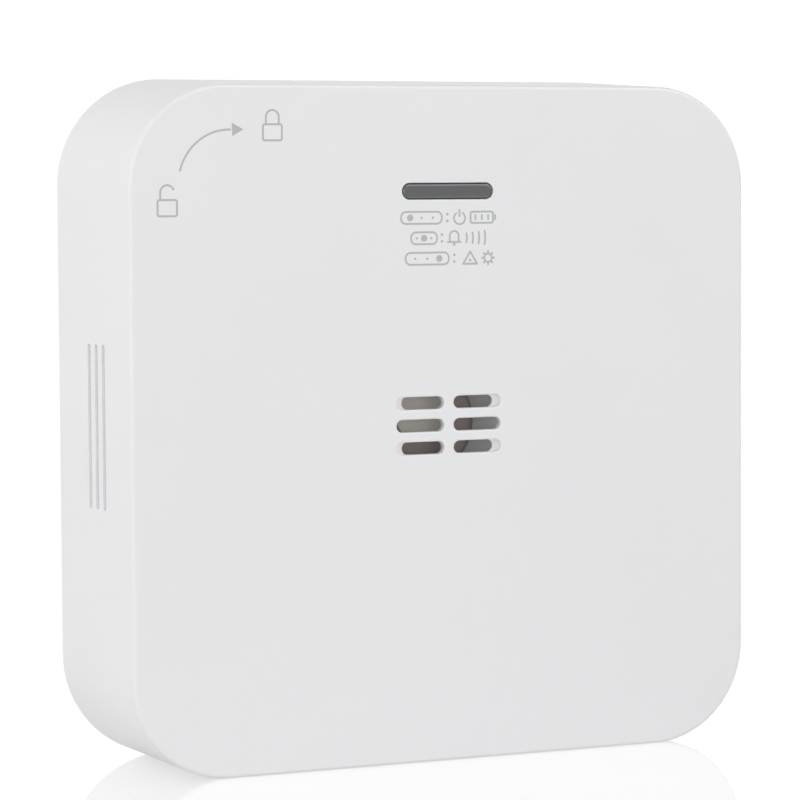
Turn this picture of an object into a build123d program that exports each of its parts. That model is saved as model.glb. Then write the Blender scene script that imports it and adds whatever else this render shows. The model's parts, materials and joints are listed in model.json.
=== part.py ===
"""Carbon monoxide detector: a square white wall alarm on a round twist-on mounting plate.

Frame: the origin is the bottom centre of the whole object's box. +X is to the right seen from
the front, +Y runs from the front face back to the wall, +Z is up. Depths are counted from the
front face, and heights on the face from its centre. All sizes are in millimetres.
"""

import os
from math import cos, radians, sin

from build123d import *

# Case
FACE = 100.0  # width and height of the front face
TOTAL_DEPTH = 27.5  # front face to wall
CASE_DEPTH = 27.0  # front face to the case's rear rim
DRAFT = 1.45  # how far the top and the sides lean out over the case's depth
CORNER_FRONT = 14.9
CORNER_BACK = 16.0
EDGE_ROUND = 0.55
REAR_ROUND = 0.5
BASE_TRIM = 0.03  # cut off the lofted underside, which leaves it truly flat
WALL = 2.0
FRONT_WALL = 2.2
CENTRE_Z = FACE / 2
FRONT_Y = -TOTAL_DEPTH / 2
FIT = 0.15  # gap between the two case halves

# Sound and gas slots, and the horn behind them
SLOT_START = 0.8  # inner end of every slot, from the middle
SLOT_END = 8.5  # outer end, as recessed into the face
SLOT_END_THROUGH = 7.45  # outer end of the through part in the top and bottom rows
SLOT_HEIGHT = 1.85
SLOT_PITCH = 3.33
SLOT_ROUND = 0.25
SLOT_RECESS = 0.75
GRILLE_WALL = 1.2
COLLAR_MOUTH = 8.75  # inner radius at the grille, narrowing to COLLAR_INNER at the end
COLLAR_INNER = 8.1
COLLAR_OUTER = 9.6
COLLAR_END = 8.8
HORN_FRONT = 9.5
HORN_BACK = 12.0
HORN_RADIUS = 11.5
HORN_PORT = 4.2
HORN_PORT_Z = 0.9  # the port stands a little above the middle
DISC_RADIUS = 10.0
DISC_THICKNESS = 0.5

# Status window and lamps
WINDOW_Z = 34.5
WINDOW_LENGTH = 14.8
WINDOW_HEIGHT = 2.35
WINDOW_SET_BACK = 0.1
WINDOW_ROUND = 0.45
LAMP_PITCH = 4.8
SHROUD_FRONT = 3.5

# Grip grooves on both side walls
GROOVE_DEPTHS = (9.9, 12.5, 15.1)
GROOVE_LENGTH = 24.1
GROOVE_Z = 0.65
GROOVE_WIDTH = 1.1
GROOVE_CUT = 0.8

# Circuit board
BOARD_FRONT = 13.0
BOARD_THICKNESS = 1.6
BOARD_HALF = 43.0
BOARD_CUT_X = 58.0
BOARD_CUT_Z = 31.0
BOARD_NOTCH = 10.5
BOARD_POSTS = ((-30.0, 38.0), (30.0, 38.0), (-30.0, -38.0), (30.0, -38.0))

# Case screws, one in each corner
CASE_SCREW_X = 42.0
BOSS_RADIUS = 3.3
PILOT_RADIUS = 1.1

# Rear housing
REAR_FRONT = 21.6
REAR_BACK = 23.2
SKIRT_FRONT = 18.6
SKIRT_WALL = 1.5

# Battery box, a raised block that fills the middle of the mounting plate
BOX_HALF_X = 31.0
BOX_HALF_Z = 14.5
BOX_CORNER = 6.0
BAY_HALF_X = 25.3
BAY_HALF_Z = 11.2
BAY_FLOOR_FRONT = 13.6
BAY_FLOOR_BACK = 14.6
CELL_RADIUS = 5.25
CELL_LENGTH = 44.5
CELL_DEPTH = 20.1
CELL_Z = 5.6

# Battery door, hinged along its lower edge
DOOR_FRONT = 25.6
DOOR_HALF_X = 28.0
DOOR_TOP = 13.0
HINGE_DEPTH = 25.85
HINGE_Z = -12.6
BARREL_RADIUS = 1.1
STUB_RADIUS = 0.75
STUB_GAP = 0.07

# Mounting plate and its bayonet
PLATE_FRONT = 23.7
PLATE_OUTER = 44.5
PLATE_INNER = 34.0
WALL_SCREW_X = 39.25
WALL_SCREW_RADIUS = 2.2
TAB_RADIUS = 48.0
TAB_FRONT = 23.8
TAB_BACK = 25.2
LUG_INNER = 45.2
LUG_OUTER = 51.0
LUG_HOOK = 25.5
LUG_BACK = 26.8
LUG_SPAN = 14.0
TAB_SPAN = 12.0

# Test button in the right side wall, and the switch behind it
BUTTON_DEPTH = 12.0
BUTTON_Z = 24.0
BUTTON_LENGTH = 12.0
BUTTON_HEIGHT = 6.0
BUTTON_GAP = 0.25
BUTTON_PROUD = 0.5
SWITCH_X = 41.2


def face_plane(depth):
    """A sketch plane parallel to the front face, with +X to the right and +Z up."""
    origin = (0, FRONT_Y + depth, CENTRE_Z)
    return Plane(origin=origin, x_dir=(1, 0, 0), z_dir=(0, -1, 0))


def slab(sketch, front, back):
    """A face sketch made solid between two depths."""
    return extrude(face_plane(back) * sketch, back - front)


def disc(x, z, radius, front, back):
    return slab(Pos(x, z) * Circle(radius), front, back)


def block(x, z, width, height, front, back):
    return slab(Pos(x, z) * Rectangle(width, height), front, back)


def outline(depth, inset):
    """The case's outline at a depth: the top and sides lean out, the bottom is square."""
    lean = DRAFT * depth / CASE_DEPTH
    radius = CORNER_FRONT + (CORNER_BACK - CORNER_FRONT) * depth / CASE_DEPTH - inset
    width = FACE + 2 * lean - 2 * inset
    height = FACE + lean + BASE_TRIM - 2 * inset
    return Pos(0, (lean - BASE_TRIM) / 2) * RectangleRounded(width, height, radius)


def case_loft(front, back, inset):
    """The space between two case outlines at the given depths."""
    ends = [face_plane(depth) * outline(depth, inset) for depth in (front, back)]
    return loft(ends)


def edges_near(solid, x, z, reach_x, reach_z):
    """The edges on the front face around a point of it."""
    edges = solid.edges().group_by(Axis.Y)[0]
    edges = edges.filter_by_position(Axis.X, x - reach_x, x + reach_x)
    return edges.filter_by_position(Axis.Z, CENTRE_Z + z - reach_z, CENTRE_Z + z + reach_z)


def sector(inner, outer, middle, span, front, back):
    """A piece of a ring about the twist axis, spanning an angle in degrees."""
    reach = 2 * outer
    first, last = radians(middle - span / 2), radians(middle + span / 2)
    wedge = Polygon(
        (0, 0),
        (reach * cos(first), reach * sin(first)),
        (reach * cos(last), reach * sin(last)),
        align=None,
    )
    return slab((Circle(outer) - Circle(inner)) & wedge, front, back)


def rod_x(x0, x1, depth, z, radius):
    """A round bar along X."""
    plane = Plane(origin=(x0, FRONT_Y + depth, CENTRE_Z + z), x_dir=(0, 1, 0), z_dir=(1, 0, 0))
    return extrude(plane * Circle(radius), x1 - x0)


def rod_z(x, depth, z0, z1, radius):
    """A round bar along Z."""
    plane = Plane(origin=(x, FRONT_Y + depth, CENTRE_Z + z0))
    return extrude(plane * Circle(radius), z1 - z0)


def wall_x(depth):
    """How far the outer face of a side wall is from the middle, at a depth."""
    return FACE / 2 + DRAFT * depth / CASE_DEPTH


def slots(rows, end):
    """Two columns of slots in the given rows, reaching out from SLOT_START to an end."""
    return Sketch() + [
        Pos(side * (SLOT_START + end) / 2, row * SLOT_PITCH) * SlotOverall(end - SLOT_START, SLOT_HEIGHT)
        for side in (-1, 1)
        for row in rows
    ]


def grip_grooves():
    """Cutters for the three grooves of each side wall."""
    cutters = []
    for side in (-1, 1):
        for depth in GROOVE_DEPTHS:
            x = side * wall_x(depth)
            slot = SlotOverall(GROOVE_LENGTH, GROOVE_WIDTH, rotation=90)
            plane = Plane(
                origin=(x, FRONT_Y + depth, CENTRE_Z + GROOVE_Z), x_dir=(0, 1, 0), z_dir=(1, 0, 0)
            )
            cutters.append(extrude(plane * slot, GROOVE_CUT, both=True))
    return cutters


def button_prism(grow, x0, x1):
    """The test button's outline, grown by a margin, between two places along X."""
    plane = Plane(
        origin=(x0, FRONT_Y + BUTTON_DEPTH, CENTRE_Z + BUTTON_Z), x_dir=(0, 1, 0), z_dir=(1, 0, 0)
    )
    slot = SlotOverall(BUTTON_LENGTH + 2 * grow, BUTTON_HEIGHT + 2 * grow, rotation=90)
    return extrude(plane * slot, x1 - x0)


def corners(offset):
    return [(sx * offset, sz * offset) for sx in (-1, 1) for sz in (-1, 1)]


def make_front_cover():
    """The deep one-piece cover: face, walls, collar, posts and screw bosses."""
    body = case_loft(0, CASE_DEPTH, 0)
    body = fillet(body.edges().group_by(Axis.Y)[0], EDGE_ROUND)
    body = fillet(body.edges().group_by(Axis.Y)[-1], REAR_ROUND)
    body -= Pos(0, 0, -5) * Box(2 * FACE, 2 * FACE, 10)
    cover = body - case_loft(FRONT_WALL, CASE_DEPTH + 1, WALL)
    cover += slab(Circle(COLLAR_OUTER), FRONT_WALL - 0.5, COLLAR_END)
    mouth = face_plane(GRILLE_WALL) * Circle(COLLAR_MOUTH)
    cover -= loft([mouth, face_plane(COLLAR_END + 0.01) * Circle(COLLAR_INNER)])
    room = case_loft(FRONT_WALL - 0.5, CASE_DEPTH, WALL - 0.5)
    for x, z in corners(CASE_SCREW_X):
        cover += disc(x, z, BOSS_RADIUS, FRONT_WALL - 0.5, REAR_FRONT - 0.1) & room
    for x, z in BOARD_POSTS:
        cover += disc(x, z, 3.0, FRONT_WALL - 0.5, BOARD_FRONT - 0.05)
    for x, z in corners(CASE_SCREW_X):
        cover -= disc(x, z, PILOT_RADIUS, REAR_FRONT - 12, REAR_FRONT)
    for x, z in BOARD_POSTS:
        cover -= disc(x, z, PILOT_RADIUS, BOARD_FRONT - 8, BOARD_FRONT)
    cover -= slab(slots((-1, 0, 1), SLOT_END), -1, SLOT_RECESS)
    cover -= slab(slots((0,), SLOT_END), -1, GRILLE_WALL + 0.01)
    cover -= slab(slots((-1, 1), SLOT_END_THROUGH), -1, GRILLE_WALL + 0.01)
    cover = fillet(edges_near(cover, 0, 0, 10, 6), SLOT_ROUND)
    window = Pos(0, WINDOW_Z) * SlotOverall(WINDOW_LENGTH + 0.1, WINDOW_HEIGHT + 0.1)
    cover -= slab(window, -1, FRONT_WALL + 1)
    cover = fillet(edges_near(cover, 0, WINDOW_Z, 10, 3), 0.15)
    for groove in grip_grooves():
        cover -= groove
    cover -= button_prism(BUTTON_GAP, FACE / 2 - 4, FACE / 2 + 4)
    return cover


def make_status_window():
    """Tinted bar set in the face, with a flange behind the wall."""
    bar = Pos(0, WINDOW_Z) * SlotOverall(WINDOW_LENGTH, WINDOW_HEIGHT)
    window = slab(bar, WINDOW_SET_BACK, FRONT_WALL + 0.5)
    window = fillet(window.edges().group_by(Axis.Y)[0], WINDOW_ROUND)
    flange = Pos(0, WINDOW_Z) * RectangleRounded(WINDOW_LENGTH + 3, WINDOW_HEIGHT + 3, 1)
    return window + slab(flange, FRONT_WALL + 0.05, FRONT_WALL + 1.1)


def make_lamp_shroud():
    """White block with one light chamber for each lamp."""
    shroud = block(0, WINDOW_Z, 17, 6, SHROUD_FRONT, BOARD_FRONT - 0.05)
    for step in (-1, 0, 1):
        shroud -= block(step * LAMP_PITCH, WINDOW_Z, 4.0, 4.0, SHROUD_FRONT - 1, BOARD_FRONT)
    return shroud


def make_lamp(step):
    """A 3 mm lamp standing on the board."""
    x = step * LAMP_PITCH
    lamp = disc(x, WINDOW_Z, 1.5, BOARD_FRONT - 4.2, BOARD_FRONT - 0.1)
    lamp = fillet(lamp.edges().group_by(Axis.Y)[0], 1.2)
    return lamp + disc(x, WINDOW_Z, 1.85, BOARD_FRONT - 1.1, BOARD_FRONT - 0.1)


def make_horn_case():
    """Black piezo horn: a shallow round box with a port in its front."""
    case = disc(0, 0, HORN_RADIUS, HORN_FRONT, HORN_BACK)
    case = chamfer(case.edges().group_by(Axis.Y)[0], 0.4)
    case -= disc(0, 0, DISC_RADIUS - 0.8, HORN_FRONT + 0.7, HORN_BACK - 0.5)
    case -= disc(0, 0, DISC_RADIUS + 0.05, HORN_FRONT + 0.9, HORN_FRONT + 1.5)
    return case - disc(0, HORN_PORT_Z, HORN_PORT, HORN_FRONT - 1, HORN_FRONT + 1)


def make_horn_disc():
    """Metal disc with its ceramic layer, seated in the horn's groove."""
    front = HORN_FRONT + 0.95
    return disc(0, 0, DISC_RADIUS, front, front + DISC_THICKNESS)


def make_horn_pad():
    """Foam ring between the horn and the battery box."""
    ring = Circle(HORN_RADIUS - 1) - Circle(HORN_RADIUS - 5)
    return slab(ring, HORN_BACK + 0.02, BAY_FLOOR_FRONT - 0.02)


def make_horn_leads():
    """Two insulated leads from the horn up to the board."""
    depth = (HORN_FRONT + HORN_BACK) / 2
    return [rod_z(x, depth, HORN_RADIUS + 0.1, BOARD_CUT_Z / 2 + 4, 0.6) for x in (-1.5, 1.5)]


def make_circuit_board():
    """Board with a window for the battery box and notches for the corner bosses."""
    half = BOARD_HALF
    board = block(0, 0, 2 * half, 2 * half, BOARD_FRONT, BOARD_FRONT + BOARD_THICKNESS)
    back = BOARD_FRONT + BOARD_THICKNESS
    board -= block(0, 0, BOARD_CUT_X, BOARD_CUT_Z, BOARD_FRONT - 1, back + 1)
    for x, z in corners(half):
        board -= block(x, z, 2 * BOARD_NOTCH, 2 * BOARD_NOTCH, BOARD_FRONT - 1, back + 1)
    for x, z in BOARD_POSTS:
        board -= disc(x, z, 1.5, BOARD_FRONT - 1, back + 1)
    return board


def screw(x, z, seat, length, head_radius):
    """Pan-head screw driven forward, with its head behind the seat."""
    shaft = disc(x, z, PILOT_RADIUS - 0.02, seat - length, seat + 0.5)
    head = disc(x, z, head_radius, seat + 0.02, seat + 1.6)
    head = fillet(head.edges().group_by(Axis.Y)[-1], 0.5)
    cross = block(x, z, 2.4, 0.6, seat + 0.8, seat + 2) + block(x, z, 0.6, 2.4, seat + 0.8, seat + 2)
    return shaft + head - cross


def make_board_screws():
    seat = BOARD_FRONT + BOARD_THICKNESS
    return [screw(x, z, seat, 7, 2.4) for x, z in BOARD_POSTS]


def make_case_screws():
    return [screw(x, z, REAR_BACK - 0.6, 10, 2.6) for x, z in corners(CASE_SCREW_X)]


def make_sensor_can():
    """Metal can of the gas sensor, standing on the board's front."""
    can = disc(-30, -27, 7.5, BOARD_FRONT - 8, BOARD_FRONT - 0.6)
    return fillet(can.edges().group_by(Axis.Y)[0], 1.0)


def make_sensor_cap():
    """Plastic filter cap with the gas inlet, in front of the can."""
    cap = disc(-30, -27, 5.5, BOARD_FRONT - 9.5, BOARD_FRONT - 8.02)
    return cap - disc(-30, -27, 1.2, BOARD_FRONT - 10, BOARD_FRONT - 9)


def make_sensor_pins():
    angles = (90, 210, 330)
    return [
        disc(-30 + 4.5 * cos(radians(a)), -27 + 4.5 * sin(radians(a)), 0.5,
             BOARD_FRONT - 0.55, BOARD_FRONT - 0.02)
        for a in angles
    ]


def make_microcontroller():
    """Flat chip with rows of leads."""
    chip = block(18, 27, 7, 7, BOARD_FRONT - 1.7, BOARD_FRONT - 0.2)
    leads = [
        block(18 + side * 4, 27 + step * 1.27, 1.4, 0.5, BOARD_FRONT - 0.5, BOARD_FRONT - 0.02)
        for side in (-1, 1)
        for step in range(-2, 3)
    ]
    return [chip + leads]


def make_capacitor():
    """Electrolytic can standing on the board, clear of the lamps."""
    can = disc(-20, 30, 4.0, BOARD_FRONT - 9, BOARD_FRONT - 0.05)
    return fillet(can.edges().group_by(Axis.Y)[0], 0.6)


def make_horn_coil():
    """Drum-shaped step-up coil that drives the horn."""
    core = disc(8, -27, 5.0, BOARD_FRONT - 6, BOARD_FRONT - 0.05)
    return core - slab(Pos(8, -27) * (Circle(6) - Circle(4.2)), BOARD_FRONT - 5, BOARD_FRONT - 1)


def make_small_parts():
    """Small resistors and capacitors around the chip and the coil."""
    places = [(28, 22), (28, 25), (28, 28), (10, 20), (-8, 24), (-10, 20), (18, -24), (18, -28),
              (-12, -24), (-12, -28), (-14, 36), (-36, 24)]
    return [block(x, z, 2.0, 1.25, BOARD_FRONT - 0.8, BOARD_FRONT - 0.02) for x, z in places]


def make_test_switch():
    """Side-acting switch on the board's right edge, with a hole for its plunger."""
    switch = block(SWITCH_X - 2.5, BUTTON_Z, 5, 7, BOARD_FRONT - 4, BOARD_FRONT - 0.05)
    return switch - rod_x(SWITCH_X - 3, SWITCH_X + 1, BOARD_FRONT - 2, BUTTON_Z, 1.1)


def make_switch_plunger():
    return rod_x(SWITCH_X - 1.6, SWITCH_X + 0.9, BOARD_FRONT - 2, BUTTON_Z, 1.04)


def make_test_button():
    """Oblong button: cap through the wall, flange inside it and a stem to the switch."""
    outer = wall_x(BUTTON_DEPTH) + BUTTON_PROUD
    inner = wall_x(BUTTON_DEPTH) - WALL
    cap = button_prism(0, inner - 0.6, outer)
    cap = fillet(cap.edges().group_by(Axis.X)[-1], 0.35)
    flange = button_prism(1.0, inner - 1.6, inner - 0.45)
    stem = rod_x(SWITCH_X + 1.0, inner - 1.0, BOARD_FRONT - 2, BUTTON_Z, 1.6)
    return cap + flange + stem


def lug(middle):
    """Bayonet lug of the rear housing: foot, hook over the plate's tab, and end stop."""
    foot = sector(TAB_RADIUS + 0.6, LUG_OUTER, middle, LUG_SPAN, REAR_BACK - 0.3, LUG_BACK)
    hook = sector(LUG_INNER, LUG_OUTER, middle, LUG_SPAN, LUG_HOOK, LUG_BACK)
    stop = sector(LUG_INNER, LUG_OUTER, middle + LUG_SPAN / 2, 2.5, REAR_BACK - 0.3, LUG_BACK)
    return foot + hook + stop


def hinge_space():
    """Cutter for the door's barrel, open below so that the door can swing down."""
    depth = (DOOR_FRONT - 1.2, CASE_DEPTH + 1)
    return block(0, HINGE_Z - 1.3, 2 * DOOR_HALF_X + 0.6, 5.2, *depth)


def make_rear_housing():
    """Rear wall with its skirt, the battery box, the door's seat and the bayonet lugs."""
    wall = case_loft(REAR_FRONT, REAR_BACK, WALL + FIT)
    skirt = case_loft(SKIRT_FRONT, REAR_FRONT + 0.2, WALL + FIT)
    skirt -= case_loft(SKIRT_FRONT - 0.1, REAR_FRONT + 0.3, WALL + FIT + SKIRT_WALL)
    box = slab(
        RectangleRounded(2 * BOX_HALF_X, 2 * BOX_HALF_Z, BOX_CORNER), REAR_FRONT, CASE_DEPTH
    )
    well = block(0, 0, 2 * BAY_HALF_X + 3, 2 * BAY_HALF_Z + 3, BAY_FLOOR_FRONT, REAR_FRONT + 1)
    rear = wall + skirt + box + well
    rear -= block(0, 0, 2 * BAY_HALF_X, 2 * BAY_HALF_Z, BAY_FLOOR_BACK, CASE_DEPTH + 1)
    seat_height = DOOR_TOP + 0.3 - HINGE_Z
    seat_z = (DOOR_TOP + 0.3 + HINGE_Z) / 2
    rear -= block(0, seat_z, 2 * DOOR_HALF_X + 0.6, seat_height, DOOR_FRONT - 0.2, CASE_DEPTH + 1)
    rear -= hinge_space()
    rear -= rod_x(-DOOR_HALF_X - 2, DOOR_HALF_X + 2, HINGE_DEPTH, HINGE_Z, STUB_RADIUS + STUB_GAP)
    rear -= disc(0, DOOR_TOP + 1.5, 4.5, DOOR_FRONT, CASE_DEPTH + 1)
    for middle in (45, 135, 225, 315):
        rear += lug(middle)
    for x, z in corners(CASE_SCREW_X):
        rear -= disc(x, z, BOSS_RADIUS + 0.2, SKIRT_FRONT - 1, REAR_FRONT - 0.02)
        rear -= disc(x, z, 1.4, REAR_FRONT - 1, REAR_BACK + 1)
        rear -= disc(x, z, 3.0, REAR_BACK - 0.6, REAR_BACK + 1)
    return rear


def make_battery_door():
    """Flat door with a hinge barrel, two stub pins and a stiffening tongue."""
    height = DOOR_TOP - HINGE_Z
    middle = (DOOR_TOP + HINGE_Z) / 2
    plate = Pos(0, middle) * Rectangle(2 * DOOR_HALF_X, height)
    door = slab(plate, DOOR_FRONT, CASE_DEPTH)
    door = fillet(door.edges().group_by(Axis.Y)[-1].sort_by(Axis.Z)[1:], 0.3)
    door += rod_x(-DOOR_HALF_X, DOOR_HALF_X, HINGE_DEPTH, HINGE_Z, BARREL_RADIUS)
    door += rod_x(-DOOR_HALF_X - 1.6, DOOR_HALF_X + 1.6, HINGE_DEPTH, HINGE_Z, STUB_RADIUS)
    for step in range(3):
        door -= block(0, DOOR_TOP - 2.5 - 1.6 * step, 9, 0.7, CASE_DEPTH - 0.4, CASE_DEPTH + 1)
    return door


def make_cell(side):
    """AAA cell lying along X: can, positive button and insulating shoulder."""
    x0 = -CELL_LENGTH / 2 + 0.9 * side
    z = side * CELL_Z
    tip = 0.9
    can_start = x0 + (tip if side < 0 else 0)
    can = rod_x(can_start, can_start + CELL_LENGTH - tip, CELL_DEPTH, z, CELL_RADIUS)
    can = fillet(can.edges(), 0.4)
    tip_start = x0 if side < 0 else x0 + CELL_LENGTH - tip - 0.2
    return can + rod_x(tip_start, tip_start + tip + 0.2, CELL_DEPTH, z, 1.9)


def contact_plate(side_x, z, height):
    x = side_x * (BAY_HALF_X - 0.25)
    return block(x, z, 0.4, height, CELL_DEPTH - 4.5, CELL_DEPTH + 4.2)


def make_contact_plates():
    """Two separate plates at the left end, one for each cell."""
    return [contact_plate(-1, side * CELL_Z, 8.5) for side in (-1, 1)]


def make_contact_bridge():
    """One plate at the right end that joins the two cells."""
    return contact_plate(1, 0, 19.5)


def coil_spring(start, end, z):
    """Small compression spring lying along X, its wire swept along a helix."""
    wire = 0.25
    turns = 3
    length = abs(end - start) - 2 * wire
    helix = Helix(pitch=length / turns, height=length, radius=2.4)
    section = Plane(origin=helix @ 0, z_dir=helix % 0) * Circle(wire)
    spring = sweep(section, path=helix)
    left = min(start, end) + wire
    place = Plane(origin=(left, FRONT_Y + CELL_DEPTH, CENTRE_Z + z), x_dir=(0, 1, 0), z_dir=(1, 0, 0))
    return place.location * spring


def make_contact_springs():
    """One spring behind the flat end of each cell."""
    ends = BAY_HALF_X - 0.5
    upper = coil_spring(-ends, -CELL_LENGTH / 2 + 0.9 - 0.05, CELL_Z)
    lower = coil_spring(CELL_LENGTH / 2 - 0.9 + 0.05, ends, -CELL_Z)
    return [upper, lower]


def make_rating_label():
    """Plain label on the rear wall, above the battery box."""
    label = Pos(0, 23) * RectangleRounded(36, 10, 1.5)
    return slab(label, REAR_BACK + 0.01, REAR_BACK + 0.15)


def make_mounting_plate():
    """Wall plate: a ring with four bayonet tabs and two countersunk screw holes."""
    plate = slab(Circle(PLATE_OUTER) - Circle(PLATE_INNER), PLATE_FRONT, TOTAL_DEPTH)
    plate = chamfer(plate.edges().filter_by(GeomType.CIRCLE).group_by(Axis.Y)[-1], 0.3)
    for middle in (45, 135, 225, 315):
        plate += sector(PLATE_OUTER - 1, TAB_RADIUS, middle - 0.6, TAB_SPAN, TAB_FRONT, TAB_BACK)
    for side in (-1, 1):
        x = side * WALL_SCREW_X
        plate -= disc(x, 0, WALL_SCREW_RADIUS, PLATE_FRONT - 1, TOTAL_DEPTH + 1)
        sink = face_plane(PLATE_FRONT + 2) * (Pos(x, 0) * Circle(WALL_SCREW_RADIUS))
        plate -= extrude(sink, 2.01, taper=-45)
    return plate


def write(node, pieces):
    """One STEP file for a node, holding one solid or several separate ones."""
    if isinstance(pieces, list):
        pieces = Compound(children=[Part() + piece for piece in pieces])
    export_step(pieces, f"parts/{node}.step")


NODES = {
    "front_cover": make_front_cover,
    "status_window": make_status_window,
    "lamp_shroud": make_lamp_shroud,
    "green_lamp": lambda: make_lamp(-1),
    "red_lamp": lambda: make_lamp(0),
    "yellow_lamp": lambda: make_lamp(1),
    "horn_case": make_horn_case,
    "horn_disc": make_horn_disc,
    "horn_pad": make_horn_pad,
    "horn_leads": make_horn_leads,
    "circuit_board": make_circuit_board,
    "board_screws": make_board_screws,
    "case_screws": make_case_screws,
    "sensor_can": make_sensor_can,
    "sensor_cap": make_sensor_cap,
    "sensor_pins": make_sensor_pins,
    "microcontroller": make_microcontroller,
    "capacitor": make_capacitor,
    "horn_coil": make_horn_coil,
    "small_parts": make_small_parts,
    "test_switch": make_test_switch,
    "switch_plunger": make_switch_plunger,
    "test_button": make_test_button,
    "rear_housing": make_rear_housing,
    "battery_door": make_battery_door,
    "upper_cell": lambda: make_cell(1),
    "lower_cell": lambda: make_cell(-1),
    "contact_plates": make_contact_plates,
    "contact_bridge": make_contact_bridge,
    "contact_springs": make_contact_springs,
    "rating_label": make_rating_label,
    "mounting_plate": make_mounting_plate,
}

os.makedirs("parts", exist_ok=True)
for node, make in NODES.items():
    write(node, make())
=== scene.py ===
"""Looks of the carbon monoxide detector: materials for every CAD node, the marks printed on its
face, a plain pale floor, soft studio light and the camera. Lengths are in metres, apart from
those of the printed marks, which are laid out in millimetres from the middle of the face.
"""

import json
from math import asin, atan2, cos, degrees, pi, radians, sin

import bmesh
import bpy
from mathutils import Matrix, Vector


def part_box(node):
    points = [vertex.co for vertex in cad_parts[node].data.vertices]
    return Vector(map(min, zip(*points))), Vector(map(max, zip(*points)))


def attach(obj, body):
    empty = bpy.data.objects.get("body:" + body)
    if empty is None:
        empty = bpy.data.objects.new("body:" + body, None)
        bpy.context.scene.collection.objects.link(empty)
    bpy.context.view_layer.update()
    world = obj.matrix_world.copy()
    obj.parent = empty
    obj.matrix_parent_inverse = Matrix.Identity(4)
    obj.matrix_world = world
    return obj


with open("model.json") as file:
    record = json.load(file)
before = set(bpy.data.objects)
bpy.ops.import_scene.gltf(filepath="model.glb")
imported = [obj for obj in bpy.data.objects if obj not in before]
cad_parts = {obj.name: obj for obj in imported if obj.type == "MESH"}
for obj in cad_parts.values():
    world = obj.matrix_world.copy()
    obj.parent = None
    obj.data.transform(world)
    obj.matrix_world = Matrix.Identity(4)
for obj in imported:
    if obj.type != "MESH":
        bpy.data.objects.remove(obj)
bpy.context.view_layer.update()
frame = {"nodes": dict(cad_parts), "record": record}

MM = 0.001

# The front face, and the height of its middle
FACE_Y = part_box("front_cover")[0].y
DISC_LOW, DISC_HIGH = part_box("horn_disc")
CENTRE_Z = (DISC_LOW.z + DISC_HIGH.z) / 2

# Camera
CAMERA_AZIMUTH = -24.78
CAMERA_ELEVATION = 3.61
CAMERA_ROLL = -0.34
CAMERA_DISTANCE = 522 * MM
CAMERA_TARGET = Vector((-1.08, 1.25, 52.88)) * MM
CAMERA_LENS = 154.9
SENSOR_WIDTH = 36.0

# Brightness of the white surroundings, as seen directly and as a source of light
BACKDROP_SEEN = 1.05
BACKDROP_LIGHT = 0.45

# Floor: a matt part, a glowing part that keeps it white, and a share that mirrors the object
FLOOR_REACH = 6.0
FLOOR_TONE = 0.9
FLOOR_GLOW = 1.12
FLOOR_GLOW_SHARE = 0.85
FLOOR_MIRROR_SHARE = 0.35
FLOOR_MIRROR_ROUGHNESS = 0.05

# Softboxes: name, azimuth and elevation in degrees, distance and size in metres, power in watts,
# and whether they light everything, only its gloss or only its matt part
SOFTBOXES = (
    ("left", -82, 30, 0.9, 0.9, 3.7, "matt"),
    ("front", -17, 1, 1.2, 0.4, 4.2, "all"),
    ("right", 55, 25, 1.2, 0.6, 2.8, "all"),
    ("brow", 33, 40, 1.1, 0.9, 6.0, "gloss"),
    ("back", 180, 4, 1.3, 0.3, 5.5, "matt"),
)

# Printed marks: line widths in millimetres, for the padlocks and arrow and for the legend
WIDE = 0.28
FINE = 0.27
INK_THICKNESS = 0.012 * MM
FACES_TO_DOUBLE = 1000  # a mesh with this many faces gets its next stroke twice as thick
ARC_STEP = radians(6)
CAP_STEPS = 6

# Padlocks: width, height and corner radius of the body, and heights over its middle
LOCK_BODY = (2.95, 2.3, 0.3)
SHACKLE_FOOT = 1.3
SHACKLE_TOP = 2.2

# Heights of the legend's rows
POWER_Z = 30.6
ALARM_Z = 27.6
FAULT_Z = 24.6


# ---------------------------------------------------------------- camera, light and floor


def view_axes(azimuth, elevation):
    """Right, up and back directions of a camera that looks at the object."""
    a = radians(azimuth)
    e = radians(elevation)
    back = Vector((sin(a) * cos(e), -cos(a) * cos(e), sin(e)))
    right = (-back).cross(Vector((0, 0, 1))).normalized()
    return right, right.cross(-back), back


def make_camera():
    """Long lens at the photograph's viewing angle, turned by a small roll."""
    right, up, back = view_axes(CAMERA_AZIMUTH, CAMERA_ELEVATION)
    roll = radians(CAMERA_ROLL)
    turned_right = right * cos(roll) + up * sin(roll)
    turned_up = up * cos(roll) - right * sin(roll)
    axes = Matrix((turned_right, turned_up, back)).transposed()
    data = bpy.data.cameras.new("camera")
    data.lens = CAMERA_LENS
    data.sensor_width = SENSOR_WIDTH
    data.clip_start = 0.01
    camera = bpy.data.objects.new("camera", data)
    place = Matrix.Translation(CAMERA_TARGET + back * CAMERA_DISTANCE)
    camera.matrix_world = place @ axes.to_4x4()
    bpy.context.scene.collection.objects.link(camera)
    bpy.context.scene.camera = camera


def seen_directly(nodes, links):
    """1 for rays from the camera or a mirror-like surface, 0 for rays that gather light."""
    path = nodes.new("ShaderNodeLightPath")
    either = nodes.new("ShaderNodeMath")
    either.operation = "MAXIMUM"
    links.new(path.outputs["Is Camera Ray"], either.inputs[0])
    links.new(path.outputs["Is Glossy Ray"], either.inputs[1])
    return either.outputs[0]


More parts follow.
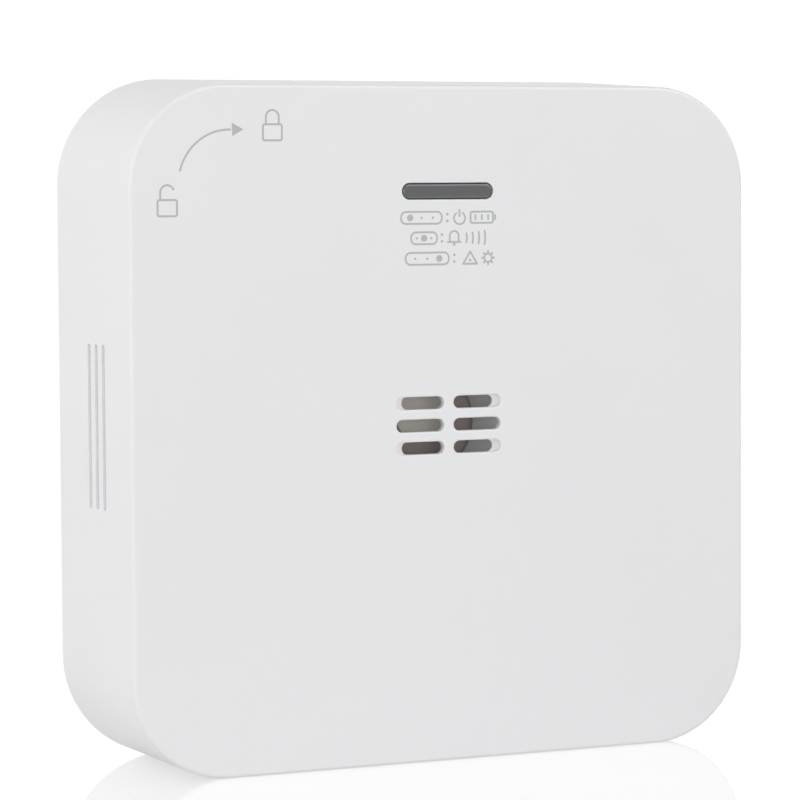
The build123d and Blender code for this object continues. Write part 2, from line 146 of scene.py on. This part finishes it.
def make_world():
    """White surroundings, dimmer as a light than as a backdrop."""
    world = bpy.data.worlds.new("studio")
    bpy.context.scene.world = world
    world.use_nodes = True
    nodes = world.node_tree.nodes
    links = world.node_tree.links
    nodes.clear()
    backdrop = nodes.new("ShaderNodeBackground")
    backdrop.inputs["Color"].default_value = (1, 1, 1, 1)
    backdrop.inputs["Strength"].default_value = BACKDROP_SEEN
    light = nodes.new("ShaderNodeBackground")
    light.inputs["Color"].default_value = (1, 1, 1, 1)
    light.inputs["Strength"].default_value = BACKDROP_LIGHT
    mix = nodes.new("ShaderNodeMixShader")
    output = nodes.new("ShaderNodeOutputWorld")
    links.new(seen_directly(nodes, links), mix.inputs["Fac"])
    links.new(light.outputs["Background"], mix.inputs[1])
    links.new(backdrop.outputs["Background"], mix.inputs[2])
    links.new(mix.outputs["Shader"], output.inputs["Surface"])


def make_softbox(name, azimuth, elevation, distance, size, power, lights):
    """A square area light that faces the middle of the object."""
    right, up, back = view_axes(azimuth, elevation)
    data = bpy.data.lights.new(name, "AREA")
    data.shape = "SQUARE"
    data.size = size
    data.energy = power
    light = bpy.data.objects.new(name, data)
    light.visible_diffuse = lights != "gloss"
    light.visible_glossy = lights != "matt"
    axes = Matrix((right, up, back)).transposed()
    middle = Vector((0, 0, CENTRE_Z))
    light.matrix_world = Matrix.Translation(middle + back * distance) @ axes.to_4x4()
    bpy.context.scene.collection.objects.link(light)


def make_floor():
    """Pale glossy floor that mirrors the object faintly."""
    mesh = bpy.data.meshes.new("floor")
    signs = ((-1, -1), (1, -1), (1, 1), (-1, 1))
    corners = [(x * FLOOR_REACH, y * FLOOR_REACH, 0) for x, y in signs]
    mesh.from_pydata(corners, [], [(0, 1, 2, 3)])
    floor = bpy.data.objects.new("floor", mesh)
    bpy.context.scene.collection.objects.link(floor)
    material = bpy.data.materials.new("floor")
    material.use_nodes = True
    nodes = material.node_tree.nodes
    links = material.node_tree.links
    nodes.clear()
    matt = nodes.new("ShaderNodeBsdfDiffuse")
    matt.inputs["Color"].default_value = (FLOOR_TONE, FLOOR_TONE, FLOOR_TONE, 1)
    glow = nodes.new("ShaderNodeEmission")
    glow.inputs["Strength"].default_value = FLOOR_GLOW
    gloss = nodes.new("ShaderNodeBsdfGlossy")
    gloss.inputs["Color"].default_value = (1, 1, 1, 1)
    gloss.inputs["Roughness"].default_value = FLOOR_MIRROR_ROUGHNESS
    base = nodes.new("ShaderNodeMixShader")
    base.inputs["Fac"].default_value = FLOOR_GLOW_SHARE
    mix = nodes.new("ShaderNodeMixShader")
    mix.inputs["Fac"].default_value = FLOOR_MIRROR_SHARE
    whole = nodes.new("ShaderNodeMixShader")
    output = nodes.new("ShaderNodeOutputMaterial")
    links.new(matt.outputs["BSDF"], base.inputs[1])
    links.new(glow.outputs["Emission"], base.inputs[2])
    links.new(base.outputs["Shader"], mix.inputs[1])
    links.new(gloss.outputs["BSDF"], mix.inputs[2])
    links.new(seen_directly(nodes, links), whole.inputs["Fac"])
    links.new(matt.outputs["BSDF"], whole.inputs[1])
    links.new(mix.outputs["Shader"], whole.inputs[2])
    links.new(whole.outputs["Shader"], output.inputs["Surface"])
    floor.data.materials.append(material)


# ---------------------------------------------------------------- materials


class Shader:
    """A Principled material, with short calls for the textures that drive it."""

    def __init__(self, name):
        self.material = bpy.data.materials.new(name)
        self.material.use_nodes = True
        self.nodes = self.material.node_tree.nodes
        self.links = self.material.node_tree.links
        self.bsdf = self.nodes["Principled BSDF"]
        self.place = self.nodes.new("ShaderNodeTexCoord").outputs["Object"]

    def set(self, **values):
        """Constant values, set on the shader's own sockets."""
        for name, value in values.items():
            self.bsdf.inputs[name.replace("_", " ")].default_value = value

    def stretched(self, scale):
        """Object coordinates stretched by a factor along each axis."""
        mapping = self.nodes.new("ShaderNodeMapping")
        mapping.inputs["Scale"].default_value = scale
        self.links.new(self.place, mapping.inputs["Vector"])
        return mapping.outputs["Vector"]

    def noise(self, scale, detail=3.0, roughness=0.5, place=None):
        """A smooth random factor, around 0.5. The scale is in patches per metre."""
        texture = self.nodes.new("ShaderNodeTexNoise")
        texture.inputs["Scale"].default_value = scale
        texture.inputs["Detail"].default_value = detail
        texture.inputs["Roughness"].default_value = roughness
        self.links.new(place or self.place, texture.inputs["Vector"])
        return texture.outputs["Fac"]

    def spread(self, source, low, high, start=0.3, end=0.7):
        """A factor's part from start to end, spread between two numbers."""
        node = self.nodes.new("ShaderNodeMapRange")
        node.inputs["From Min"].default_value = start
        node.inputs["From Max"].default_value = end
        node.inputs["To Min"].default_value = low
        node.inputs["To Max"].default_value = high
        self.links.new(source, node.inputs["Value"])
        return node.outputs["Result"]

    def blend(self, source, first, second):
        """A colour between two others, each an RGB triple or another node's output."""
        node = self.nodes.new("ShaderNodeMix")
        node.data_type = "RGBA"
        self.links.new(source, node.inputs["Factor"])
        for socket, colour in ((node.inputs[6], first), (node.inputs[7], second)):
            if isinstance(colour, tuple):
                socket.default_value = (*colour, 1)
            else:
                self.links.new(colour, socket)
        return node.outputs[2]

    def math(self, operation, first, second):
        """The result of a Math node. Each input is a number or another node's output."""
        node = self.nodes.new("ShaderNodeMath")
        node.operation = operation
        for socket, value in ((node.inputs[0], first), (node.inputs[1], second)):
            if isinstance(value, (int, float)):
                socket.default_value = value
            else:
                self.links.new(value, socket)
        return node.outputs[0]

    def axes(self):
        """The object coordinates as three separate numbers."""
        node = self.nodes.new("ShaderNodeSeparateXYZ")
        self.links.new(self.place, node.inputs["Vector"])
        return node.outputs["X"], node.outputs["Y"], node.outputs["Z"]

    def colour(self, source):
        """Drives the base colour."""
        self.links.new(source, self.bsdf.inputs["Base Color"])

    def roughness(self, source):
        """Drives the roughness."""
        self.links.new(source, self.bsdf.inputs["Roughness"])

    def bump(self, source, height):
        """Fine relief of a height in metres."""
        node = self.nodes.new("ShaderNodeBump")
        node.inputs["Distance"].default_value = height
        node.inputs["Strength"].default_value = 1.0
        self.links.new(source, node.inputs["Height"])
        self.links.new(node.outputs["Normal"], self.bsdf.inputs["Normal"])


def moulded(name, colour, rough=0.42, grain=0.28, relief=0.006, shift=0.02):
    """Moulded plastic: spark-eroded grain, a slow change of tone and uneven gloss.

    The grain's size and relief are in millimetres, and shift is the share of the change of tone.
    """
    shader = Shader(name)
    shader.set(IOR=1.5)
    darker = tuple(c * (1 - shift) for c in colour)
    shader.colour(shader.blend(shader.noise(35, 2), colour, darker))
    shader.roughness(shader.spread(shader.noise(90, 3), rough - 0.04, rough + 0.04))
    shader.bump(shader.noise(1 / (grain * MM), 2, 0.6), relief * MM)
    return shader.material


def metal(name, colour, rough=0.3, along=(1, 40, 40), relief=0.004):
    """Drawn or plated metal with fine lines along one direction."""
    shader = Shader(name)
    shader.set(Metallic=1.0)
    lines = shader.noise(120, 4, 0.6, shader.stretched(along))
    dull = tuple(c * 0.82 for c in colour)
    shader.colour(shader.blend(shader.spread(lines, 0, 1), colour, dull))
    shader.roughness(shader.spread(lines, rough - 0.08, rough + 0.10))
    shader.bump(lines, relief * MM)
    return shader.material


def lens(name, colour):
    """Diffused epoxy of a lamp, a little cloudy."""
    shader = Shader(name)
    shader.set(IOR=1.52, Transmission_Weight=0.25, Coat_Weight=0.5)
    pale = tuple(0.6 * c + 0.4 for c in colour)
    shader.colour(shader.blend(shader.noise(900, 3), colour, pale))
    shader.roughness(shader.spread(shader.noise(400), 0.12, 0.22))
    return shader.material


def window_tint(name):
    """Polished dark tint that shows a faint moulding swirl."""
    shader = Shader(name)
    shader.set(IOR=1.52, Coat_Weight=0.4, Coat_Roughness=0.03)
    swirl = shader.noise(160, 2, 0.4, shader.stretched((1, 1, 5)))
    shader.colour(shader.blend(swirl, (0.074, 0.078, 0.082), (0.086, 0.090, 0.094)))
    shader.roughness(shader.spread(shader.noise(600), 0.05, 0.10))
    return shader.material


def board_green(name):
    """Solder mask with slightly raised copper tracks under it."""
    shader = Shader(name)
    shader.set(IOR=1.5, Coat_Weight=0.3)
    cells = shader.nodes.new("ShaderNodeTexBrick")
    cells.inputs["Scale"].default_value = 260
    cells.inputs["Mortar Size"].default_value = 0.035
    cells.inputs["Color1"].default_value = (0, 0, 0, 1)
    cells.inputs["Color2"].default_value = (0, 0, 0, 1)
    cells.inputs["Mortar"].default_value = (1, 1, 1, 1)
    turn = shader.nodes.new("ShaderNodeMapping")
    turn.inputs["Rotation"].default_value = (radians(90), 0, 0)
    shader.links.new(shader.place, turn.inputs["Vector"])
    shader.links.new(turn.outputs["Vector"], cells.inputs["Vector"])
    tracks = cells.outputs["Color"]
    weave = shader.noise(700, 3)
    mask = shader.blend(weave, (0.010, 0.085, 0.032), (0.014, 0.105, 0.042))
    shader.colour(shader.blend(tracks, mask, (0.030, 0.17, 0.065)))
    shader.roughness(shader.spread(weave, 0.28, 0.38))
    shader.bump(tracks, 0.02 * MM)
    return shader.material


def foam(name):
    """Closed-cell foam with open pores on its cut faces. The colour darkens towards each pore's
    bottom: painted shade.
    """
    shader = Shader(name)
    pores = shader.nodes.new("ShaderNodeTexVoronoi")
    pores.inputs["Scale"].default_value = 2600
    shader.links.new(shader.place, pores.inputs["Vector"])
    depth = pores.outputs["Distance"]
    # painted shade: the colour runs from dark at each pore's bottom to lighter at its rim
    painted_pore_shade = shader.spread(depth, 0, 1, 0, 0.6)
    shader.colour(shader.blend(painted_pore_shade, (0.02, 0.02, 0.02), (0.07, 0.07, 0.07)))
    shader.roughness(shader.spread(depth, 0.8, 0.95))
    shader.bump(depth, 0.08 * MM)
    return shader.material


def cell_sleeve(name):
    """Battery sleeve, split along X: a dark middle, two pale bands and bare steel ends."""
    shader = Shader(name)
    x, _, _ = shader.axes()
    half_length = 22.25 * MM
    pale_length = 8 * MM
    bare_length = 1.6 * MM
    band = shader.math("GREATER_THAN", shader.math("ABSOLUTE", x, 0), half_length - pale_length)
    ends = shader.math("GREATER_THAN", shader.math("ABSOLUTE", x, 0), half_length - bare_length)
    scuffs = shader.noise(500, 4)
    dark = shader.blend(scuffs, (0.020, 0.024, 0.030), (0.030, 0.034, 0.042))
    sleeve = shader.blend(band, dark, (0.42, 0.44, 0.46))
    shader.colour(shader.blend(ends, sleeve, (0.62, 0.62, 0.60)))
    shader.links.new(ends, shader.bsdf.inputs["Metallic"])
    shader.roughness(shader.spread(scuffs, 0.24, 0.36))
    return shader.material


def label_silver(name):
    """Blank matt label with a fine printed frame line."""
    shader = Shader(name)
    low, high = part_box("rating_label")
    middle = (low + high) / 2
    half = (high - low) / 2
    x, _, z = shader.axes()
    from_side = shader.math("ABSOLUTE", shader.math("SUBTRACT", x, middle.x), 0)
    from_top = shader.math("ABSOLUTE", shader.math("SUBTRACT", z, middle.z), 0)
    border = 1.0 * MM
    line = 0.15 * MM
    edge = shader.math(
        "MAXIMUM",
        shader.math("SUBTRACT", from_side, half.x - border),
        shader.math("SUBTRACT", from_top, half.z - border),
    )
    on_line = shader.math("LESS_THAN", shader.math("ABSOLUTE", edge, 0), line)
    paper = shader.blend(shader.noise(800, 4), (0.66, 0.66, 0.65), (0.72, 0.72, 0.71))
    shader.colour(shader.blend(on_line, paper, (0.30, 0.30, 0.30)))
    shader.roughness(shader.spread(shader.noise(1200), 0.45, 0.6))
    shader.bump(shader.noise(3000), 0.003 * MM)
    return shader.material


def case_white(name):
    """White ABS of the case: fine grain, almost even tone, satin gloss."""
    shader = Shader(name)
    shader.set(IOR=1.5)
    shader.colour(shader.blend(shader.noise(28, 3), (0.81, 0.812, 0.82), (0.795, 0.797, 0.808)))
    shader.roughness(shader.spread(shader.noise(70, 4), 0.36, 0.46))
    shader.bump(shader.noise(3800, 2, 0.6), 0.005 * MM)
    return shader.material


MATERIALS = {
    "case_white": case_white,
    "window_tint": window_tint,
    "shroud_white": lambda n: moulded(n, (0.82, 0.82, 0.81), rough=0.5),
    "green_lens": lambda n: lens(n, (0.10, 0.52, 0.14)),
    "red_lens": lambda n: lens(n, (0.60, 0.035, 0.03)),
    "yellow_lens": lambda n: lens(n, (0.75, 0.52, 0.05)),
    "horn_black": lambda n: moulded(n, (0.42, 0.35, 0.335), rough=0.5, shift=0.12),
    "disc_metal": lambda n: moulded(n, (0.88, 0.84, 0.77), rough=0.45, grain=0.2, shift=0.08),
    "foam": foam,
    "lead_insulation": lambda n: moulded(n, (0.38, 0.02, 0.018), rough=0.35, shift=0.15),
    "board_green": board_green,
    "screw_steel": lambda n: metal(n, (0.60, 0.60, 0.58), rough=0.28, along=(6, 6, 6)),
    "sensor_metal": lambda n: metal(n, (0.70, 0.70, 0.67), rough=0.26, along=(40, 1, 40)),
    "sensor_cap_white": lambda n: moulded(n, (0.76, 0.76, 0.72), rough=0.5),
    "pin_gold": lambda n: metal(n, (0.80, 0.60, 0.25), rough=0.25),
    "chip_black": lambda n: moulded(n, (0.018, 0.018, 0.019), rough=0.55, grain=0.1, shift=0.25),
    "capacitor_sleeve": lambda n: moulded(n, (0.012, 0.02, 0.06), rough=0.25, shift=0.3),
    "ferrite": lambda n: moulded(n, (0.035, 0.034, 0.033), rough=0.6, grain=0.15, relief=0.02),
    "part_ceramic": lambda n: moulded(n, (0.33, 0.25, 0.17), rough=0.5, shift=0.25),
    "switch_black": lambda n: moulded(n, (0.02, 0.02, 0.02), rough=0.4, shift=0.2),
    "plunger_white": lambda n: moulded(n, (0.75, 0.75, 0.71), rough=0.4),
    "cell_sleeve": cell_sleeve,
    "contact_nickel": lambda n: metal(n, (0.72, 0.70, 0.65), rough=0.24),
    "label_silver": label_silver,
    "plate_white": lambda n: moulded(n, (0.82, 0.82, 0.826), rough=0.48, grain=0.22, relief=0.008),
    "print_grey": lambda n: moulded(n, (0.465, 0.47, 0.48), rough=0.55, shift=0.06),
}


def dress_nodes():
    """Every CAD node gets the material of its slot."""
    made = {name: make(name) for name, make in MATERIALS.items()}
    for part in frame["record"]["subparts"]:
        for holder in frame["nodes"][part["node"]].material_slots:
            holder.material = made[part["material_slot"]]
    return made


# ---------------------------------------------------------------- marks printed on the face


def arc(x, z, radius, start, end):
    """Points of an arc in face coordinates. Angles are in degrees, anticlockwise from +X."""
    first = radians(start)
    sweep = radians(end - start)
    count = max(2, round(abs(sweep) / ARC_STEP))
    angles = [first + sweep * i / count for i in range(count + 1)]
    return [Vector((x + radius * cos(a), z + radius * sin(a))) for a in angles]


def rounded_box(x, z, width, height, radius):
    """Closed outline of a rounded rectangle around a point."""
    dx = width / 2 - radius
    dz = height / 2 - radius
    corners = ((1, 1, 0), (-1, 1, 90), (-1, -1, 180), (1, -1, 270))
    points = []
    for sx, sz, start in corners:
        points += arc(x + sx * dx, z + sz * dz, radius, start, start + 90)
    return points


def stroke_faces(bm, points, width, closed=False):
    """Adds a ribbon of even width along a line of points to the mesh."""
    count = len(points)
    rails = []
    for i, point in enumerate(points):
        before = points[i - 1] if closed or i > 0 else point
        after = points[(i + 1) % count] if closed or i < count - 1 else point
        ahead = (after - before).normalized()
        aside = Vector((-ahead.y, ahead.x)) * width / 2
        rails.append([bm.verts.new(on_face(point + side * aside)) for side in (1, -1)])
    pairs = list(zip(rails, rails[1:] + ([rails[0]] if closed else [])))
    faces = [bm.faces.new((a, b, d, c)) for (a, b), (c, d) in pairs]
    if not closed:
        faces.append(cap_face(bm, rails[0], points[0], points[1], width))
        faces.append(cap_face(bm, rails[-1], points[-1], points[-2], width))
    thicken(bm, faces)


def cap_face(bm, rail, end, inner, width):
    """A half-round end for a ribbon."""
    out = (end - inner).normalized()
    middle = atan2(out.y, out.x)
    angles = [middle - pi / 2 + pi * i / CAP_STEPS for i in range(1, CAP_STEPS)]
    tip = [end + Vector((cos(a), sin(a))) * width / 2 for a in angles]
    start, stop = rail
    first = end + Vector((cos(middle - pi / 2), sin(middle - pi / 2))) * width / 2
    corner = Vector(on_face(first))
    if (start.co - corner).length > (stop.co - corner).length:
        start, stop = stop, start
    return bm.faces.new([start, *(bm.verts.new(on_face(p)) for p in tip), stop])


def on_face(point):
    """A point in millimetres from the middle of the face, as a place in the frame."""
    return (point.x * MM, FACE_Y, CENTRE_Z + point.y * MM)


def thicken(bm, faces):
    """Gives flat ink its thickness. Each stroke is a hair thicker than the last one."""
    lift = Vector((0, -INK_THICKNESS * (1 + len(bm.faces) / FACES_TO_DOUBLE), 0))
    top = {}
    for vert in (v for face in faces for v in face.verts):
        if vert not in top:
            top[vert] = bm.verts.new(vert.co + lift)
    rim = [(loop.vert, loop.link_loop_next.vert) for face in faces for loop in face.loops
           if len(loop.edge.link_faces) == 1]
    for face in faces:
        bm.faces.new([top[v] for v in face.verts])
    for start, end in rim:
        bm.faces.new((start, end, top[end], top[start]))


def polygon_face(bm, points):
    """Adds a filled shape to the mesh."""
    thicken(bm, [bm.faces.new([bm.verts.new(on_face(p)) for p in points])])


def disc_face(bm, x, z, radius):
    """Adds a dot to the mesh."""
    polygon_face(bm, arc(x, z, radius, 0, 360)[:-1])


def printed(name, draw, ink):
    """An ink mark that rides on the housing."""
    bm = bmesh.new()
    draw(bm)
    bmesh.ops.recalc_face_normals(bm, faces=list(bm.faces))
    mesh = bpy.data.meshes.new(name)
    bm.to_mesh(mesh)
    bm.free()
    mesh.materials.append(ink)
    mark = bpy.data.objects.new(name, mesh)
    bpy.context.scene.collection.objects.link(mark)
    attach(mark, "housing")


def arch(x, foot, top, radius):
    """Two legs and the half circle between them."""
    left, right = (Vector((x + side * radius, foot)) for side in (-1, 1))
    return [left, *arc(x, top, radius, 180, 0), right]


def padlock(bm, x, z, shackle):
    """A padlock's outline, around the middle of its body."""
    stroke_faces(bm, rounded_box(x, z, *LOCK_BODY), WIDE, closed=True)
    stroke_faces(bm, shackle, WIDE)


def open_padlock(bm):
    """Padlock with one leg of its shackle swung out."""
    x, z, radius = -44.2, 32.35, 1.05
    leg = Vector((x - radius, z + SHACKLE_FOOT))
    padlock(bm, x, z, [leg, *arc(x, z + SHACKLE_TOP, radius, 180, 25)])


def closed_padlock(bm):
    """Padlock with both legs of its shackle in the body."""
    x, z, radius = -27.95, 43.1, 1.0
    padlock(bm, x, z, arch(x, z + SHACKLE_FOOT, z + SHACKLE_TOP, radius))


def turn_arrow(bm):
    """Clockwise arrow from the open padlock to the closed one."""
    stroke_faces(bm, arc(-34.6, 35.6, 7.9, 165, 89), WIDE)
    tip = Vector((-32.45, 43.52))
    length, half_width, lean = 1.8, 0.95, 0.1
    upper = tip + Vector((-length, half_width))
    lower = tip + Vector((lean - length, -half_width))
    polygon_face(bm, [tip, upper, lower])


def line(bm, *points):
    """A fine line through points."""
    stroke_faces(bm, [Vector(p) for p in points], FINE)


def lamp_key(bm, z, left, right, lit):
    """The status window in outline, with one of its lamps (-1, 0 or 1) filled in."""
    middle = (left + right) / 2
    width = right - left - FINE
    height, end_radius = 1.75, 0.8
    lit_radius, dark_radius = 0.5, 0.18
    stroke_faces(bm, rounded_box(middle, z, width, height, end_radius), FINE, closed=True)
    for step in (-1, 0, 1):
        disc_face(bm, middle + step * width / 3.6, z, lit_radius if step == lit else dark_radius)


def colon(bm, x, z):
    """Two dots, one above the other."""
    for step in (-0.5, 0.5):
        disc_face(bm, x, z + step, 0.2)


def power_ring(bm, x, z):
    """A ring with a gap at the top, and a short line in the gap."""
    stroke_faces(bm, arc(x, z - 0.1, 0.9, 125, 415), FINE)
    line(bm, (x, z + 0.2), (x, z + 1.1))


def battery(bm, x, z):
    """A lying battery with its terminal and three bars of charge."""
    width, height, radius = 3.7, 1.65, 0.3
    terminal, pitch, half_bar = 2.2, 1.05, 0.3
    stroke_faces(bm, rounded_box(x, z, width, height, radius), FINE, closed=True)
    for offset in (terminal, -pitch, 0, pitch):
        line(bm, (x + offset, z - half_bar), (x + offset, z + half_bar))


def bell(bm, x, z):
    """A bell: dome, brim and clapper."""
    brim = 1.05
    stroke_faces(bm, arch(x, z - 0.5, z + 0.3, 0.72), FINE)
    line(bm, (x - brim, z - 0.6), (x + brim, z - 0.6))
    disc_face(bm, x, z - 0.95, 0.22)


def sound(bm, x, z):
    """Four arcs that grow to the right."""
    for step in range(4):
        radius = 1.9 + step
        half_height = 0.65 + 0.12 * step
        reach = degrees(asin(half_height / radius))
        stroke_faces(bm, arc(x, z, radius, -reach, reach), FINE)


def triangle(bm, x, z):
    """A triangle around a dot."""
    half_width, top, foot = 1.15, 0.95, -0.85
    corners = ((x, z + top), (x - half_width, z + foot), (x + half_width, z + foot))
    for i in range(3):
        line(bm, corners[i - 1], corners[i])
    disc_face(bm, x, z - 0.3, 0.2)


def cog(bm, x, z):
    """A small gear wheel."""
    rim, root, tip, teeth = 0.62, 0.8, 1.0, 8
    stroke_faces(bm, arc(x, z, rim, 0, 360)[:-1], FINE, closed=True)
    for tooth in range(teeth):
        a = radians(360 / teeth * tooth)
        line(bm, (x + root * cos(a), z + root * sin(a)), (x + tip * cos(a), z + tip * sin(a)))


def power_row(bm):
    """First lamp: a power ring and a battery."""
    lamp_key(bm, POWER_Z, -7.8, -0.9, -1)
    colon(bm, -0.15, POWER_Z)
    power_ring(bm, 1.85, POWER_Z)
    battery(bm, 5.5, POWER_Z)


def alarm_row(bm):
    """Second lamp: a bell and its sound."""
    lamp_key(bm, ALARM_Z, -6.2, -1.7, 0)
    colon(bm, -1.05, ALARM_Z)
    bell(bm, 0.95, ALARM_Z)
    sound(bm, 1.15, ALARM_Z)


def fault_row(bm):
    """Third lamp: a triangle and a cog."""
    lamp_key(bm, FAULT_Z, -7.1, 0.2, 1)
    colon(bm, 0.95, FAULT_Z)
    triangle(bm, 3.55, FAULT_Z)
    cog(bm, 6.5, FAULT_Z)


def print_marks(ink):
    """The six marks of the face, each its own piece."""
    printed("printed_open_padlock", open_padlock, ink)
    printed("printed_closed_padlock", closed_padlock, ink)
    printed("printed_turn_arrow", turn_arrow, ink)
    printed("printed_legend_power", power_row, ink)
    printed("printed_legend_alarm", alarm_row, ink)
    printed("printed_legend_fault", fault_row, ink)


# ---------------------------------------------------------------- scene

make_camera()
make_world()
make_floor()
for softbox in SOFTBOXES:
    make_softbox(*softbox)
bpy.context.scene.view_settings.view_transform = "Standard"
materials = dress_nodes()
print_marks(materials["print_grey"])
